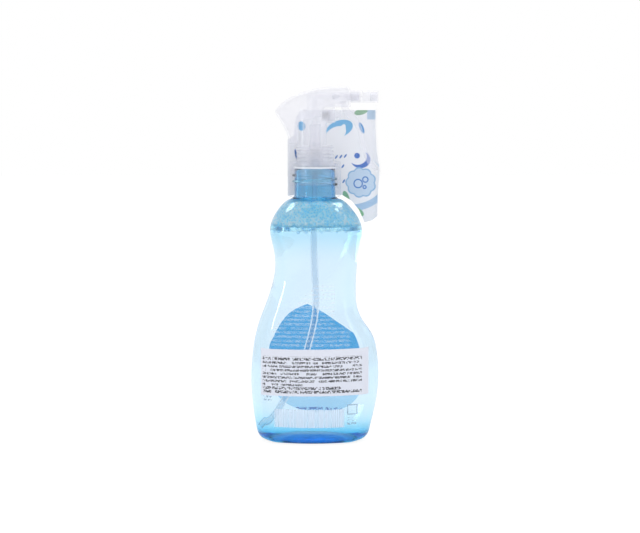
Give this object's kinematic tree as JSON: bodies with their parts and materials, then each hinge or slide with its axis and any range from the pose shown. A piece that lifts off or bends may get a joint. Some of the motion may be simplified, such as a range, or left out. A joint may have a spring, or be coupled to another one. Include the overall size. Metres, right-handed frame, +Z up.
{
  "type": "lens cleaning spray",
  "caption": "Clear blue pinched-waist bottle of lens cleaner with a milky foam trigger sprayer, a printed film sleeve round the trigger, clear labels and a white sticker.",
  "frame": {"origin": "middle of the bottle's outline on the surface it stands on", "axes": "+Z up through the neck, +X the way the nozzle points, -Y the side with the back label"},
  "size_m": [0.069, 0.0413, 0.188],
  "materials": {
    "pet_blue": "clear blue blown PET",
    "fluid": "clear pale blue liquid",
    "label_clear": "clear film label with white print",
    "sticker": "white paper sticker with small dark print",
    "pp_natural": "natural moulded polypropylene, milky",
    "pe_foam": "foamed polyethylene",
    "pe_tube": "natural polyethylene tube",
    "pe_seal": "moulded polyethylene",
    "steel": "stainless steel",
    "rubber": "translucent silicone rubber",
    "mesh": "woven nylon mesh",
    "printed_film": "clear film printed white, blue and green on its far panel"
  },
  "bodies": {
    "bottle": {"bottle": "pet_blue", "cleaning_fluid": "fluid", "front_label": "label_clear", "back_label": "label_clear", "importer_sticker": "sticker"},
    "sprayer": {"pump_body": "pp_natural", "hood": "pp_natural", "intake_tube": "pp_natural", "dip_tube": "pe_tube", "neck_gasket": "pe_foam", "return_spring": "steel", "outlet_valve": "rubber", "swirl_core": "pp_natural", "display_sleeve": "printed_film"},
    "collar": {"screw_collar": "pp_natural"},
    "trigger": {"trigger": "pp_natural"},
    "piston": {"piston": "pe_seal"},
    "nozzle": {"nozzle_cap": "pp_natural", "foam_screen": "mesh", "foam_ring": "pp_natural"},
    "check_ball": {"intake_ball": "steel"}
  },
  "joints": [
    {"name": "head_rise", "type": "slide", "parent": "bottle", "child": "sprayer", "axis": [0, 0, 1], "range_m": [0, 0.0048]},
    {"name": "collar_turn", "type": "hinge", "parent": "sprayer", "child": "collar", "pos_m": [0, 0, 0.14], "axis": [0, 0, 1], "range_deg": [0, 540]},
    {"name": "trigger_pull", "type": "hinge", "parent": "sprayer", "child": "trigger", "pos_m": [0.0146, 0, 0.1813], "axis": [0, 1, 0], "range_deg": [0, 20], "stiffness_Nm_per_rad": 0.1, "springref_deg": -28.65},
    {"name": "piston_stroke", "type": "slide", "parent": "sprayer", "child": "piston", "axis": [-1, 0, 0], "range_m": [0, 0.0031], "deforming": ["return_spring"]},
    {"name": "nozzle_twist", "type": "hinge", "parent": "sprayer", "child": "nozzle", "pos_m": [0.021, 0, 0.1825], "axis": [1, 0, 0], "range_deg": [0, 90]},
    {"name": "check_ball_lift", "type": "slide", "parent": "sprayer", "child": "check_ball", "axis": [0, 0, 1], "range_m": [0, 0.0008]}
  ],
  "couplings": [
    {"joint": "head_rise", "follows": "collar_turn", "m_per_rad": 0.00050532},
    {"joint": "piston_stroke", "follows": "trigger_pull", "m_per_rad": 0.0085}
  ]
}
